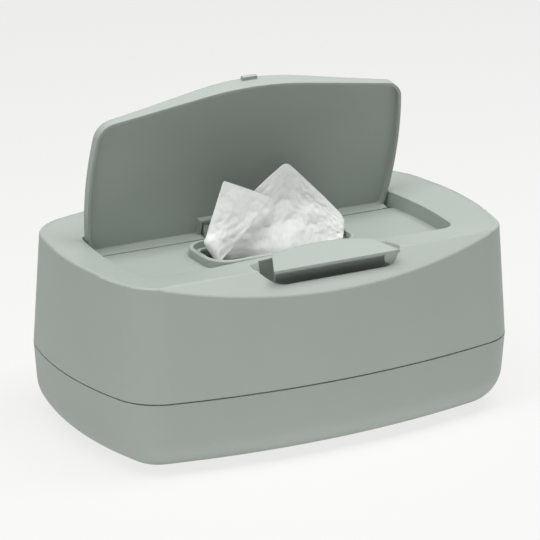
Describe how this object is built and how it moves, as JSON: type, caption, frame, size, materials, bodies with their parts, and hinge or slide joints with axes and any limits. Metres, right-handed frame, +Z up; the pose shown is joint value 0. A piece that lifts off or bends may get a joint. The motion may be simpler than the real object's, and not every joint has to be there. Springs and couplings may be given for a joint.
{
  "type": "wipes dispenser",
  "caption": "Rounded countertop box for moist wipes with a sprung lid open over a slotted collar, a rocking front button and a lift-off cover.",
  "frame": {"origin": "centre of the feet's underside, on the table", "axes": "+X along the length, +Z up, the button faces -Y"},
  "size_m": [0.25, 0.1668, 0.1809],
  "materials": {
    "shell": "fine matt",
    "button": "fine matt",
    "inner_plastic": "plain moulded",
    "steel": "drawn",
    "spring_steel": "drawn wire",
    "soft_seal": "matt",
    "foot_pad": "matt",
    "moist_sheet": "embossed nonwoven"
  },
  "bodies": {
    "base": {"tray": "shell", "foot_front_left": "foot_pad", "foot_front_right": "foot_pad", "foot_rear_left": "foot_pad", "foot_rear_right": "foot_pad", "seam_seal": "soft_seal", "wipes_stack": "moist_sheet"},
    "cover": {"housing": "shell", "collar": "shell", "hinge_pin": "steel", "lid_spring": "spring_steel", "button_pin": "steel", "button_spring": "spring_steel", "wipe": "moist_sheet"},
    "lid": {"lid": "shell"},
    "button": {"button": "button", "latch": "inner_plastic"}
  },
  "joints": [
    {"name": "cover_lift", "type": "slide", "parent": "base", "child": "cover", "axis": [0, 0, 1], "range_m": [0, 0.075]},
    {"name": "lid_hinge", "type": "hinge", "parent": "cover", "child": "lid", "pos_m": [0, 0.0334, 0.0962], "axis": [1, 0, 0], "range_deg": [0, 77.4], "stiffness_Nm_per_rad": 0.02, "springref_deg": -34.38, "deforming": ["wipe"]},
    {"name": "button_rock", "type": "hinge", "parent": "cover", "child": "button", "pos_m": [0, -0.0575, 0.088], "axis": [1, 0, 0], "range_deg": [0, 7], "stiffness_Nm_per_rad": 0.25, "springref_deg": -2.86, "deforming": ["button_spring"]}
  ]
}
